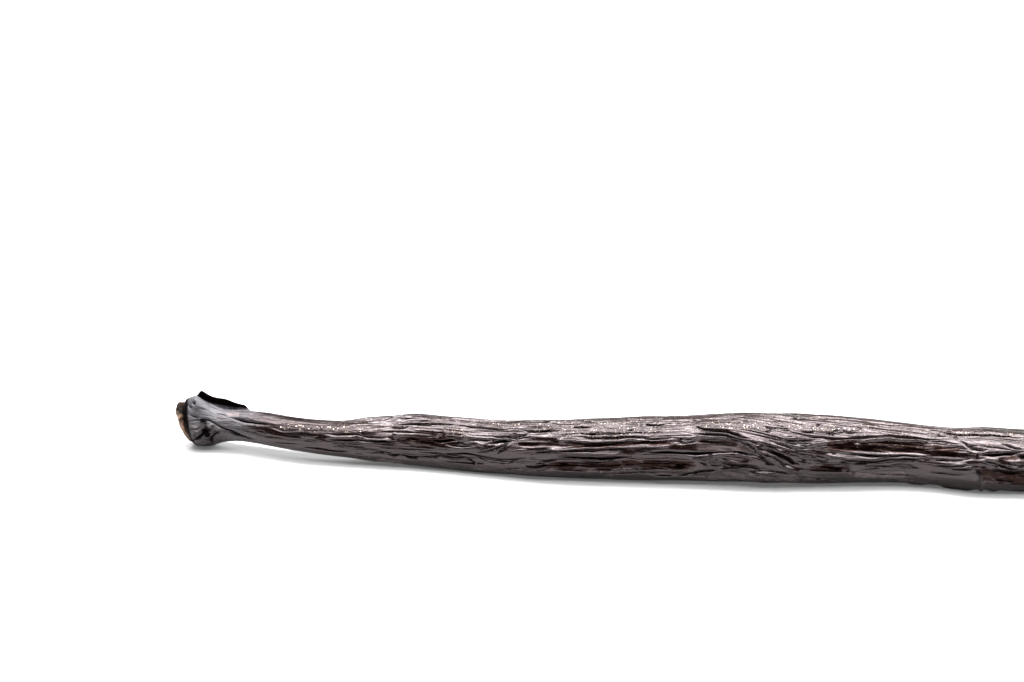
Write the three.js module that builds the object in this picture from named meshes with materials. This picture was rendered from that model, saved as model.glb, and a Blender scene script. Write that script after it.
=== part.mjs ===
// A cured vanilla pod lying on a table, as one solid: the woody stub where it was cut from its stalk, the flared
// shoulder round the stub, the thin neck, the long wrinkled body and the blunt tip.
//
// Millimetres, +Z up. +X runs from the stub to the tip, and -Y is the side that faces the viewer. The table is the
// plane Z = 0, and the origin is the middle of the pod's footprint on it.
//
// A place on the skin is (along, angle): millimetres from the stub's end towards the tip, and degrees round the
// pod's line, 0 on top, 90 in front, 180 underneath and 270 behind.

import * as THREE from "three";
import { mergeVertices } from "three/addons/utils/BufferGeometryUtils.js";

// The whole pod
const SHOULDER_LENGTH = 8;
const TIP_START = 158.6;
const ORIGIN_ALONG = 79.85;
const ORIGIN_SIDEWAYS = 1.5;
const PRESSED_FLAT = 0.15; // how far the pod's own weight presses its underside into the table

// Facets
const SEGMENTS_AROUND = 36;
const SHOULDER_STEP = 0.8; // between rings on the shoulder and the neck's root
const BODY_STEP = 1.5; // between rings further along

// The pod's line and girth: along, sideways (away from the viewer), underside above the table, half height, half width
const STATIONS = [
  [0, -0.6, 0.0, 2.55, 2.5],
  [1.8, -0.9, 0.0, 2.65, 2.65],
  [3.2, -1.1, 0.1, 2.5, 2.5],
  [5.2, -1.3, 0.75, 2.0, 2.15],
  [7.5, -1.6, 1.1, 1.8, 1.95],
  [10, -2.1, 1.1, 1.8, 2.0],
  [15, -3.2, 0.9, 1.95, 2.2],
  [20, -3.4, 0.6, 2.1, 2.4],
  [26, -2.9, 0.2, 2.65, 2.95],
  [30, -2.8, 0.0, 2.85, 3.2],
  [37.5, -3.5, 0.0, 2.9, 3.3],
  [43.5, -3.9, 0.0, 3.1, 3.5],
  [50.5, -3.6, 0.0, 3.3, 3.7],
  [62, -2.7, 0.0, 3.65, 4.05],
  [69.5, -2.1, 0.0, 3.85, 4.3],
  [77.5, -1.0, 0.0, 3.65, 4.05],
  [84.5, -0.2, 0.0, 3.3, 3.7],
  [89, -0.4, 0.0, 3.2, 3.6],
  [93.5, -1.1, 0.0, 3.45, 3.8],
  [98.5, -0.7, 0.0, 3.3, 3.7],
  [110, 0.4, 0.0, 3.4, 3.8],
  [122, 1.6, 0.0, 3.3, 3.65],
  [134, 3.3, 0.0, 2.9, 3.2],
  [144, 5.1, 0.1, 2.35, 2.6],
  [151, 6.6, 0.4, 1.85, 2.05],
  [156, 7.8, 0.7, 1.5, 1.65],
  [160, 8.8, 0.9, 1.35, 1.45],
];

// The stub, and the rim that it stands in
const STUB_START = 0.2;
const STUB_SHARE = 0.82; // the stub's radius as a share of the rim's
const RIM_START = 1.7;
const GROOVE_SHARE = 0.68; // the stub is thinner where it goes into the rim
const GROOVE_DEPTH = 0.35; // of the gap between stub and rim
const RIM_LEAN = 0.13; // the rim leans back this much for each millimetre of height
const STUB_LEAN = 0.26;

// The swollen top of the shoulder, in front of the fin
const LOBE = { height: 0.65, angle: 8, reach: 38, along: 2.5, length: 1.2 };

// A fin of skin along the back of the shoulder's top
const FLANGE_HEIGHT = 1.8;
const FLANGE_ANGLE = 334;
const FLANGE_REACH = 15; // degrees
const FLANGE_START = 1.3;
const FLANGE_PEAK = 3.0;
const FLANGE_END = 8.2;

// The blunt tip: share of the section's radius, and millimetres past the tip's start
const TIP_OUTLINE = [
  [0.98, 0.5],
  [0.88, 1],
  [0.66, 1.35],
  [0.4, 1.4],
  [0.24, 1.15],
  [0, 1.05],
];

// The seed capsule's three valves, which round the section into a soft triangle
const VALVES = 3;
const VALVE_RISE = 0.14;
const VALVE_TURN = 0.9; // degrees of twist for each millimetre along

// The deep folds of the viewer's side
const FRONT_FOLDS = [
  { depth: 0.4, reach: 0.7, path: [[2.2, 70], [5, 76], [13, 84]] },
  { depth: 0.5, reach: 0.9, path: [[18, 56], [22, 58], [26, 68], [32, 63], [41, 64], [46, 66], [52, 63], [59, 60]] },
  { depth: 0.4, reach: 0.9, path: [[23, 106], [28, 111], [34, 103], [37, 121], [41, 127]] },
  { depth: 0.3, reach: 0.8, path: [[26, 32], [34, 24], [38, 31], [43, 33], [49, 24]] },
  { depth: 0.45, reach: 0.9, path: [[33, 95], [38, 99], [45, 89], [52, 88], [56, 77], [68, 78]] },
  { depth: 0.4, reach: 0.9, path: [[50, 128], [55, 117], [60, 122], [64, 106], [71, 112]] },
  { depth: 0.6, reach: 1.0, path: [[60, 43], [65, 47], [68, 66], [70, 92], [73, 119], [79, 134]] },
  { depth: 0.4, reach: 0.9, path: [[71, 66], [76, 58], [81, 41], [87, 33], [91, 38]] },
  { depth: 0.45, reach: 0.9, path: [[81, 85], [86, 74], [92, 73], [94, 62], [100, 52]] },
  { depth: 0.5, reach: 0.9, path: [[87, 8], [91, 28], [93.3, 60], [93.6, 100], [93.4, 142]] },
];

// The folds of the back and of the far end, which wander lengthwise: where they start along the pod and round it
const BACK_FOLDS = { count: 15, starts: [8, 128], angles: [165, 375] };
const FAR_END_FOLDS = { count: 6, starts: [101, 124], angles: [20, 160] };
const WANDERING_DEPTH = [0.28, 0.5];
const WANDERING_REACH = 0.95;
const WANDERING_LENGTH = [22, 46];
const WANDERING_BENDS = 4;
const WANDERING_SWAY = 9; // degrees to either side
const GOLDEN_SHARE = 0.618; // spreads the folds evenly round the pod

// A fold is shallow where the pod is thin and where the table presses it, and it runs out at its ends
const FULL_DEPTH_RADIUS = 3;
const PRESSED_REACH = 22; // degrees
const PRESSED_SHARE = 0.8;
const FOLD_FADE = 4;

const RADIANS = Math.PI / 180;
const { clamp, lerp, smoothstep } = THREE.MathUtils;

// A repeatable scatter of numbers between low and high.
function scatter(index, channel, [low, high]) {
  const wave = Math.sin(index * 12.9898 + channel * 78.233) * 43758.5453;
  return lerp(low, high, wave - Math.floor(wave));
}

// The shortest turn from one angle to another, in degrees.
function turn(from, to) {
  return ((((to - from + 180) % 360) + 360) % 360) - 180;
}

// One column of the stations at a place along the pod, as a smooth curve through them.
function station(column, along) {
  const last = STATIONS.length - 1;
  const place = clamp(along, 0, STATIONS[last][0]);
  let i = 0;
  while (i < last - 1 && place > STATIONS[i + 1][0]) i += 1;
  const slope = (k) => {
    const before = STATIONS[Math.max(k - 1, 0)];
    const after = STATIONS[Math.min(k + 1, last)];
    return (after[column] - before[column]) / (after[0] - before[0]);
  };
  const span = STATIONS[i + 1][0] - STATIONS[i][0];
  const t = (place - STATIONS[i][0]) / span;
  const rest = 1 - t;
  return (
    (1 + 2 * t) * rest * rest * STATIONS[i][column] +
    t * rest * rest * span * slope(i) +
    t * t * (3 - 2 * t) * STATIONS[i + 1][column] -
    t * t * rest * span * slope(i + 1)
  );
}

const sideways = (along) => station(1, along);
const halfHeight = (along) => station(3, along);
const halfWidth = (along) => station(4, along);
const middleHeight = (along) => station(2, along) + halfHeight(along) - PRESSED_FLAT;

// A set of folds that each sway gently to and fro along the pod.
function wanderingFolds({ count, starts, angles }, channel) {
  const folds = [];
  for (let i = 0; i < count; i++) {
    const start = scatter(i, channel, starts);
    const length = scatter(i, channel + 1, WANDERING_LENGTH);
    const middle = lerp(...angles, (i * GOLDEN_SHARE) % 1);
    const phase = scatter(i, channel + 2, [0, 2 * Math.PI]);
    const path = [];
    for (let bend = 0; bend <= WANDERING_BENDS; bend++) {
      const along = start + (length * bend) / WANDERING_BENDS;
      path.push([along, middle + WANDERING_SWAY * Math.sin(phase + 1.4 * bend)]);
    }
    folds.push({ depth: scatter(i, channel + 3, WANDERING_DEPTH), reach: WANDERING_REACH, path });
  }
  return folds;
}

const FOLDS = [...FRONT_FOLDS, ...wanderingFolds(BACK_FOLDS, 1), ...wanderingFolds(FAR_END_FOLDS, 11)];

// How deep one fold is at a place, from its distance to the fold's path on the unrolled skin.
function foldDepth({ depth, reach, path }, along, angle, radius) {
  const last = path.length - 1;
  let deepest = 0;
  for (let i = 0; i < last; i++) {
    const [startAlong, startAngle] = path[i];
    const run = path[i + 1][0] - startAlong;
    const rise = (path[i + 1][1] - startAngle) * RADIANS * radius;
    const length = Math.hypot(run, rise);
    const x = along - startAlong;
    const y = turn(startAngle, angle) * RADIANS * radius;
    const t = clamp((x * run + y * rise) / (length * length), 0, 1);
    const distance = Math.hypot(x - t * run, y - t * rise);
    const toStart = i === 0 ? t * length : FOLD_FADE;
    const toEnd = i === last - 1 ? (1 - t) * length : FOLD_FADE;
    const fade = smoothstep(Math.min(toStart, toEnd), -0.5 * FOLD_FADE, FOLD_FADE);
    deepest = Math.max(deepest, depth * fade * Math.exp(-((distance / reach) ** 2)));
  }
  return deepest;
}

// How far the fin on the shoulder and the lobe in front of it stand up at a place.
function shoulderHeight(along, angle) {
  const rise = smoothstep(along, FLANGE_START, FLANGE_PEAK);
  const fall = 1 - smoothstep(along, FLANGE_PEAK, FLANGE_END);
  const fin = rise * fall * Math.exp(-((turn(FLANGE_ANGLE, angle) / FLANGE_REACH) ** 2));
  const round = (turn(LOBE.angle, angle) / LOBE.reach) ** 2 + ((along - LOBE.along) / LOBE.length) ** 2;
  return Math.max(FLANGE_HEIGHT * fin, LOBE.height * Math.exp(-round));
}

// How far the skin stands out from, or sinks under, the plain oval section.
function relief(along, angle) {
  const radius = halfHeight(along);
  const girth = Math.min(1, radius / FULL_DEPTH_RADIUS);
  const pressed = PRESSED_SHARE * Math.exp(-((turn(180, angle) / PRESSED_REACH) ** 2));
  const fold = FOLDS.reduce((deepest, one) => Math.max(deepest, foldDepth(one, along, angle, radius)), 0);
  const valves = VALVE_RISE * Math.cos(VALVES * (angle - VALVE_TURN * along) * RADIANS);
  return girth * (valves - fold) * (1 - pressed) + shoulderHeight(along, angle);
}

// The outline that is turned round the pod's line, from the stub's middle to the tip's: share of the section's
// radius, and place along.
function outline() {
  const points = [
    [0, STUB_START + 0.15],
    [0.5 * STUB_SHARE, STUB_START],
    [0.92 * STUB_SHARE, STUB_START + 0.1],
    [STUB_SHARE, STUB_START + 0.35],
    [STUB_SHARE, STUB_START + 0.8],
    [GROOVE_SHARE, RIM_START - 0.3],
    [GROOVE_SHARE, RIM_START + GROOVE_DEPTH],
    [0.86, RIM_START + GROOVE_DEPTH],
    [0.93, RIM_START + 0.1],
    [0.97, RIM_START],
  ];
  for (let along = RIM_START + 0.5 * SHOULDER_STEP; along < SHOULDER_LENGTH; along += SHOULDER_STEP) {
    points.push([1, along]);
  }
  for (let along = SHOULDER_LENGTH + SHOULDER_STEP; along < TIP_START; along += BODY_STEP) {
    points.push([1, along]);
  }
  TIP_OUTLINE.forEach(([share, past]) => points.push([share, TIP_START + past]));
  return points.map(([share, along]) => new THREE.Vector2(share, along));
}

// Puts one point of the turned outline in its place on the bent, wrinkled pod.
function placeOnPod(share, along, turned) {
  const line = new THREE.Vector3(
    1,
    sideways(along + 0.5) - sideways(along - 0.5),
    middleHeight(along + 0.5) - middleHeight(along - 0.5),
  ).normalize();
  const front = new THREE.Vector3().crossVectors(line, new THREE.Vector3(0, 0, 1)).normalize();
  const up = new THREE.Vector3().crossVectors(front, line);
  const outward = relief(along, turned / RADIANS);
  const ahead = share * (halfWidth(along) + outward) * Math.sin(turned);
  const above = share * (halfHeight(along) + outward) * Math.cos(turned);
  const leanShare = lerp(STUB_LEAN, RIM_LEAN, smoothstep(along, STUB_START, RIM_START));
  const lean = leanShare * above * (1 - smoothstep(along, RIM_START, SHOULDER_LENGTH));
  const place = new THREE.Vector3(
    along - ORIGIN_ALONG - lean,
    sideways(along) - ORIGIN_SIDEWAYS,
    middleHeight(along),
  );
  place.addScaledVector(front, ahead).addScaledVector(up, above);
  place.z = Math.max(place.z, 0);
  return place;
}

// The outline turned into a closed lathe shape, and then laid along the pod's line.
function podGeometry() {
  const turned = new THREE.LatheGeometry(outline(), SEGMENTS_AROUND);
  turned.deleteAttribute("normal");
  turned.deleteAttribute("uv");
  const geometry = mergeVertices(turned, 1e-4);
  const position = geometry.getAttribute("position");
  for (let i = 0; i < position.count; i++) {
    const share = Math.hypot(position.getX(i), position.getZ(i));
    const angle = Math.atan2(position.getX(i), position.getZ(i));
    position.setXYZ(i, ...placeOnPod(share, position.getY(i), angle));
  }
  geometry.computeVertexNormals();
  return geometry;
}

const podSkin = new THREE.MeshStandardMaterial({ color: 0x2b1a16, roughness: 0.42, metalness: 0 });

const pod = new THREE.Mesh(podGeometry(), podSkin);
pod.name = "vanilla_pod";

const part = new THREE.Group();
part.add(pod);

export default part;
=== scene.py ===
"""A cured vanilla pod lying on a pale table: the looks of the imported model.

Sizes are millimetres until a piece is placed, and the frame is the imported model's: +X runs from the cut stub to the
tip, -Y faces the viewer and +Z is up, with the origin in the middle of the pod's footprint. A place on the skin is
(along, angle): millimetres from the stub's end towards the tip, and degrees round the pod's line, 0 on top, 90 in
front, 180 underneath and 270 behind.
"""

import math

import bmesh
import bpy
import numpy as np
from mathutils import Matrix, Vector, noise


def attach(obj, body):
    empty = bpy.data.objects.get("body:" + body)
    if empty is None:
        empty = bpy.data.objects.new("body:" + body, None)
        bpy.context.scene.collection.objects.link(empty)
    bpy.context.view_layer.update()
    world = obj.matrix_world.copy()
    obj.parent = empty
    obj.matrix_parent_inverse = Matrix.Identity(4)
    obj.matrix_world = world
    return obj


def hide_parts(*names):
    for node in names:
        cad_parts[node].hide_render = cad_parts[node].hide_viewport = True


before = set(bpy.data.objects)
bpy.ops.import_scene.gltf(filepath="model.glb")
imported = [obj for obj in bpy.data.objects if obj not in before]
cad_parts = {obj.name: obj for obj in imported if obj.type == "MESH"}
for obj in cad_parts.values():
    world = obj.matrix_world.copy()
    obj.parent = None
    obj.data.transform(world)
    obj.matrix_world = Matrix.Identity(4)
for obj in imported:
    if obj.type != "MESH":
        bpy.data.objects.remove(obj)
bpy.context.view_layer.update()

MM = 0.001
RADIANS = math.pi / 180
BODY = "root"
NODE = "vanilla_pod"

# The pod's line and girth: along, sideways (away from the viewer), underside above the table, half height, half width
STATIONS = np.array([
    (0, -0.6, 0.0, 2.55, 2.5),
    (1.8, -0.9, 0.0, 2.65, 2.65),
    (3.2, -1.1, 0.1, 2.5, 2.5),
    (5.2, -1.3, 0.75, 2.0, 2.15),
    (7.5, -1.6, 1.1, 1.8, 1.95),
    (10, -2.1, 1.1, 1.8, 2.0),
    (15, -3.2, 0.9, 1.95, 2.2),
    (20, -3.4, 0.6, 2.1, 2.4),
    (26, -2.9, 0.2, 2.65, 2.95),
    (30, -2.8, 0.0, 2.85, 3.2),
    (37.5, -3.5, 0.0, 2.9, 3.3),
    (43.5, -3.9, 0.0, 3.1, 3.5),
    (50.5, -3.6, 0.0, 3.3, 3.7),
    (62, -2.7, 0.0, 3.65, 4.05),
    (69.5, -2.1, 0.0, 3.85, 4.3),
    (77.5, -1.0, 0.0, 3.65, 4.05),
    (84.5, -0.2, 0.0, 3.3, 3.7),
    (89, -0.4, 0.0, 3.2, 3.6),
    (93.5, -1.1, 0.0, 3.45, 3.8),
    (98.5, -0.7, 0.0, 3.3, 3.7),
    (110, 0.4, 0.0, 3.4, 3.8),
    (122, 1.6, 0.0, 3.3, 3.65),
    (134, 3.3, 0.0, 2.9, 3.2),
    (144, 5.1, 0.1, 2.35, 2.6),
    (151, 6.6, 0.4, 1.85, 2.05),
    (156, 7.8, 0.7, 1.5, 1.65),
    (160, 8.8, 0.9, 1.35, 1.45),
])
ORIGIN_ALONG = 79.85
ORIGIN_SIDEWAYS = 1.5
PRESSED_FLAT = 0.15  # how far the pod's weight presses its underside into the table
PRESSED_REACH = 22  # degrees
PRESSED_SHARE = 0.8
SHOULDER_LENGTH = 8
TIP_START = 158.6
TIP_LENGTH = 1.4
STUB_START = 0.5
STUB_SHARE = 0.85
RIM_START = 1.7
RIM_LEAN = 0.24  # the rim leans back this much for each millimetre of height
RIM_TURN = 0.11  # and its front is set back this much for each millimetre to the front
STUB_LEAN = 0.36
STUB_TURN = 0.20
STUB_AROUND = 96
STUB_LAY_SIZE = 2.5  # the stub's radius in its material's pattern
GROOVE_SHARE = 0.68
GROOVE_DEPTH = 0.35
# How the rim and the tip's round scar turn over: share of the radius, and how far past the rim's or the tip's start
RIM_PROFILE = [(0.89, 0.20), (0.905, 0.10), (0.92, 0.02), (0.94, -0.04), (0.965, -0.03), (0.985, 0.02), (0.996, 0.1)]
SCAR_PROFILE = [(0.42, 1.3), (0.34, 1.15), (0.2, 1.05), (0, 1.0)]
# The stub's chamfer and its waist in the groove: share of its radius or the pod's, and how far past its start
CHAMFER_PROFILE = [(0.95, 0.05), (0.985, 0.14)]
WAIST_PROFILE = [(0.78, 0.95), (0.72, 1.15)]
STUB_HOLLOW = 0.12
STUB_SPLITS = (0.22, 0.3)  # how rough its face and its sides are
STUB_ROOT = 0.25  # how far it goes into the skin's bottom

# The skin's mesh
AROUND = 300
SPOKES_FRONT = (-25, 195)  # degrees that the spokes stand closest in
SPOKES_BACK_SHARE = 0.42  # how dense they are behind
SPOKES_EDGE = 20
SHOULDER_STEP = 0.13
BODY_STEP = 0.14
FAR_STEP = 0.6
FAR_START = 99
SKIN_PARTS = ("pod_skin_stem", "pod_skin_middle", "pod_skin_tip")
SKIN_CUTS = (40, 75)  # where one part meets the next

# The section is a soft triangle, with a valve of the seed capsule in each corner
VALVES = 3
VALVE_RISE = 0.14
VALVE_TURN = 0.9  # degrees of twist for each millimetre along
FULL_DEPTH_RADIUS = 3

# Where the pod was wrung: its fibres run round it here
WRUNG_MIDDLE = 69
WRUNG_REACH = 5
WRUNG_TURN = 4  # degrees for each millimetre

# The body's weight fills out its lower front: height, and middle and reach round
SAG = 0.45
SAG_MIDDLE = 133
SAG_REACH = 24

# A fin of skin along the back of the shoulder's top, with a hollow in front of it
FLANGE_HEIGHT = 1.55
FLANGE_FRONT = 346
FLANGE_BACK_REACH = 26
FLANGE_ALONG = (1.1, 3.6, 8.9)
FLANGE_DROP = 0.12  # the share of its height that it loses in each millimetre
FLANGE_WAVE = 0.07
FLANGE_WAVES = 2.4  # radians for each millimetre
FLANGE_END = 1.2
FLANGE_STEEP = 4  # degrees
HOLLOW_DEPTH = 0.3
HOLLOW_ANGLE = 355
HOLLOW_REACH = 6

# Swellings of the shoulder: height, and middle and reach along and round
LOBES = [
    (1.25, (3.1, 1.4), (8, 26)),
    (0.38, (2.9, 0.9), (108, 26)),
    (0.24, (10.5, 3.2), (0, 36)),
]

# The camera, and its picture's size in the points that the paths below are given in
CAMERA_PLACE = (77.70 - ORIGIN_ALONG, -262.65 - ORIGIN_SIDEWAYS, 100.69)
CAMERA_AIM = (-0.1361, 0.9413, -0.3097)
LENS = 85
SENSOR = 36
PICTURE = (1024, 682)
SEEN_ALONG = (RIM_START, 120, 0.15)  # where places are looked for: from, to and step
SEEN_ROUND = (-20, 166, 0.8)
ROW_WEIGHT = 4  # a place a row off counts as this much farther than one a column off

# The viewer's side is laid out as it is seen. Each path is a row of points of the camera's picture, the distance
# from its left edge and from its top by turns.
# Creases
WIDE_CREASES = [
    [690, 425, 695, 427, 700, 428.7, 705, 430.2, 711, 431, 718, 431.6, 725, 432.1, 730, 433.5, 736, 435.3,
     742, 437.4, 749, 439.2, 757, 440.2],
    [694, 425.6, 700, 427.2, 705, 428.8, 712, 430],
    [555, 456.2, 570, 457.6, 585, 458.6, 600, 459, 615, 458.6, 625, 457.6, 636, 456.8],
    [641, 454.6, 650, 453.2, 665, 452.7, 680, 453.2, 690, 453.4, 700, 453.6, 712, 452.6, 725, 452.5, 735, 452,
     742, 453, 749, 455.3, 760, 456.5],
    [479, 457.2, 488, 460, 497, 461.2, 506, 461.6, 514, 460.4],
    [976, 457.6, 981, 456, 986, 454.4, 993, 455, 1000, 454.8, 1006, 453.8, 1015, 452.8, 1024, 452.3],
    [978, 466, 978.5, 472, 979.5, 479, 979.5, 486],
    [430, 440.6, 441, 441.4, 452, 440, 458, 441],
]
CREASES = [
    [323, 434.3, 330, 434, 340, 434, 350, 434, 358, 434.6, 363, 436, 370, 437.3, 380, 438, 390, 438],
    [324, 439.3, 335, 439.7, 345, 440.2, 353, 440.3, 359, 439.8, 363, 440.6, 370, 441.2, 380, 441.6, 390, 442.3,
     399, 442.3, 403, 440.5],
    [366, 450.3, 373, 451.2, 381, 451.2, 387, 452.5, 393, 454, 400, 454, 406, 455, 413, 456, 421, 455.5,
     431, 456.3],
    [455, 425.4, 463, 426, 470, 426.8, 478, 427.5, 484, 428.3, 490, 429.4, 497, 430.1, 505, 430.3, 515, 430],
    [517, 430.7, 524, 430.2, 530, 430.8, 536, 431.6, 546, 431.8, 556, 431.4, 566, 431],
    [530, 430.6, 528.5, 432.5, 525, 434.8, 520, 436.3, 514, 436.6, 508, 436],
    [488, 444.3, 493, 443.2, 498, 441.6, 504, 441, 509, 441.2, 514, 440.6],
    [506, 442.5, 506, 446, 503, 449, 499, 451.6, 496.5, 454],
    [425, 456.2, 433, 456.6, 440, 455, 447, 456, 453, 457.9, 460, 457.8, 466, 458.2, 471, 460, 475, 462,
     479, 464.6, 486, 467],
    [440, 450.8, 448, 453, 455, 453.8, 463, 454, 470, 454.6, 477, 456, 484, 457.6, 492, 458.6, 500, 459.7,
     507, 460, 513, 459.5, 519, 458.4, 525, 458.5, 530, 459.5, 534, 458.5],
    [568, 438.2, 578, 437.3, 590, 438.2, 600, 438.3, 612, 438, 622, 437.3, 633, 437, 642, 437.8, 650, 439,
     659, 438.7, 668, 438.3, 680, 438.2],
    [537, 463, 543, 461.5, 550, 460.8, 560, 460],
    [762, 446, 772, 451, 782, 456, 791, 461.5, 797, 466],
    [689, 433, 692, 434.4, 700, 434.6, 705, 435.2, 712, 435.6, 720, 436.1, 727, 436.8, 734, 438.2, 741, 440,
     748, 441.7, 756, 443.8, 764, 446.5],
    [675, 472.4, 683, 473, 690, 472, 697, 471, 706, 470, 715, 469.4, 723, 468.6],
    [742, 469.3, 749, 470.4, 757, 469.8, 766, 469.8, 776, 470.4, 785, 471.2, 793, 472.6, 803, 473.6],
    [799, 436, 808, 436.2, 814, 437.6, 822, 437.2, 830, 438.2, 838, 439, 847, 439, 855, 438.2, 863, 437.2,
     871, 436.5, 880, 436, 889, 435.3, 896, 436, 906, 436.8, 916, 437.5, 926, 438.3, 936, 438.7, 943, 438.2,
     948, 437.2],
    [802, 473.4, 810, 475, 820, 476.4, 830, 477.4, 840, 478.4, 851, 479.5],
    [1001, 444, 1008, 446, 1016, 448, 1024, 449.2],
]
SHOULDER_FOLDS = [
    [183, 424, 189.5, 421.8, 195, 420, 199.6, 419.5, 203.3, 418.8, 208.8, 420.9, 213.4, 422.8, 219, 426.4,
     227.2, 430.1, 236.5, 433.8, 242, 436.6, 251.2, 439.3, 262, 444],
    [221, 431, 216.5, 433, 213, 436.5, 210.5, 441],
]
HEEL_FOLD = [
    [203, 419.5, 205, 423, 205.2, 427, 204.2, 431, 202, 435, 198.5, 438.6, 194.5, 440.8, 190.5, 441.4],
]
SHOULDER_PITS = [
    [223.6, 431.5, 229, 432.9, 234.6, 434.7, 240, 436, 250.3, 439.3, 259.5, 443],
    [229, 417.2, 236.5, 419, 244.7, 421.4, 252, 422.8, 262, 424, 271, 425.2],
    [194.8, 398.2, 196.6, 398],
    [192.6, 402.6, 194.6, 402.2],
    [189.6, 405.6, 190.8, 407.2],
    [190.4, 415.4, 195, 416.8, 198.7, 417.2],
]
THIN_CREASES = [
    [957, 438.6, 960, 440.6, 963, 442.8, 967, 445.6, 972, 448, 977, 449.8, 982, 450.2, 987, 449.3, 989.5, 448],
    [228, 427.5, 243, 431, 256, 433.8, 264, 436.5, 276, 438, 290, 439, 301, 439],
    [190, 430.2, 193.4, 429.5, 197, 430, 199.2, 427, 200.5, 423.8],
    [197, 432.6, 195, 434, 194, 437],
    [213.5, 425.5, 212, 428.5, 209, 430.6],
    [209.5, 433, 207, 436.4, 204.5, 438.6],
    [206, 440, 202, 442.6, 198, 443.8],
    [216, 430.4, 213, 432, 210.4, 435],
    [224, 432, 231, 432.5, 237, 434, 241, 435.5, 247, 438, 252, 440, 258, 441.5, 264, 443.5, 271, 445, 280, 446.5,
     290, 447, 303, 447.3],
    [301, 446.8, 310, 448.2, 320, 449, 330, 450.5, 340, 451.2, 350, 451.5],
    [331, 446, 340, 446.6, 350, 446.4, 357, 447.2, 368, 448],
    [391, 423.7, 398, 424.4, 406, 424.6, 416, 424.2, 430, 424.2, 440, 424.5, 448, 424.9, 456, 425.5],
    [389, 437.5, 394, 436.3, 400, 435.2, 408, 435.5, 418, 436, 428, 437, 437, 436.8, 443, 438.3],
    [398, 438.5, 403, 440.5, 409, 438.6, 416, 439.4, 422, 441],
    [491, 436.5, 496, 438, 502, 437.2, 508, 437.2, 514, 438.3, 520, 438.5, 526, 438],
    [512, 441, 508, 443, 504.5, 445.3, 499, 447, 494, 449.3, 488, 451, 481, 451.6, 474, 451.4],
    [486, 467, 494, 467.5, 502, 468.5, 512, 470.2, 522, 471.2, 535, 472.2],
    [530, 454.5, 538, 452.5, 546, 451.8, 556, 451.8],
    [463, 443, 468, 440.4, 475, 439.8, 485, 440.6, 493, 440.2],
    [444, 444, 452, 445.5, 461, 446.5, 470, 446, 478, 447],
    [570, 428.2, 580, 428, 592, 427.5],
    [556, 443, 575, 443.3, 595, 444, 612, 443.6, 630, 442.5, 642, 442.5],
    [550, 451.9, 565, 451.6, 580, 450.6, 595, 450, 612, 449.6, 630, 449, 650, 448.6, 662, 448, 671, 447.6],
    [597, 473, 608, 472.6, 618, 471.6, 632, 471.6, 640, 470.6, 655, 471.5, 668, 471.6, 680, 471.4],
    [643, 424, 650, 425.1, 658, 425.2, 666, 424.4],
    [628.5, 429.6, 633.5, 430.4],
    [676, 423.2, 680, 422.6, 683, 421.2, 688, 421.6, 693, 421],
    [697, 439.6, 706, 438.9, 716, 438.8, 725, 438.8, 733, 440, 741, 442.2, 748, 445.5, 754, 449.5, 759, 454,
     764, 458.6, 771, 463, 780, 466.8, 790, 469.8],
    [678, 444, 686, 443, 692, 442.3, 698, 440.4],
    [697, 462.4, 704, 464, 711, 466.4, 719, 468],
    [813, 456, 821, 457.8, 829, 459],
    [699, 460.6, 711, 461.5, 721, 462.4, 730, 464.6, 741, 465.6, 752, 465.8, 761, 467.8, 775, 468.6],
    [804, 473.6, 801, 476.5, 797.5, 479.6],
    [769, 440.6, 777, 443.6, 785, 446.4, 792, 449.4, 801, 451.5],
    [757, 445.8, 766, 450, 775, 453.4, 784, 457.6, 791, 460.6, 797, 463.6, 804, 467],
    [777, 441, 785, 441, 796, 441.2, 808, 441.2, 816, 439.8],
    [729, 418.5, 743, 418.6],
    [770, 428.4, 778, 428.4, 786, 429, 793, 428.4],
    [762, 427, 767, 427.4, 770.5, 430, 767.5, 433, 764, 430.6],
    [826, 434.4, 829, 432.6, 833, 433, 835, 435.3],
    [834, 431.5, 836, 430, 839, 430.8],
    [800, 431.4, 808, 432, 815, 431],
    [836, 451.8, 845, 454.2, 855, 455, 866, 456, 881, 456.4, 894, 455.9, 909, 455.8, 919, 457, 926, 459],
    [838, 460.2, 850, 461, 862, 461, 872, 461.4, 881, 461.5, 891, 460, 901, 459.5, 911, 459.3, 921, 460.4,
     931, 461.4],
    [846, 468, 850, 470.5, 853, 473],
    [892, 477, 900, 477, 908, 477.4, 917, 477.6],
    [922, 430, 930, 430.5, 937, 430.7, 941, 431.6, 946, 433.1, 953, 433.8, 961, 434.1, 969, 434.3, 976, 433.8,
     984, 434.2, 991, 434.6, 999, 435.6, 1008, 436.2, 1016, 437.6, 1024, 438],
    [952, 433.8, 956, 436.4, 958, 439],
    [925, 441.5, 934, 441.4, 942, 441.1, 950, 442.7, 957, 443.6, 962, 444],
    [955, 446.6, 962, 448, 967, 449.2],
    [976, 457.6, 969, 459.5, 960, 460.4, 946, 460.6, 932, 460.4, 926, 459.2],
    [979, 462.2, 984, 461.4, 990, 462.6, 996, 463.6, 1002, 466.4, 1010, 468.6, 1018, 470, 1024, 471],
    [985.6, 469, 985, 476, 985, 484],
    [930, 465, 945, 465.8, 960, 465.8, 973, 465.4],
    [950, 468.6, 962, 468.8, 976, 469.4],
    [958, 488, 969, 489, 979, 489.6],
]
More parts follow.
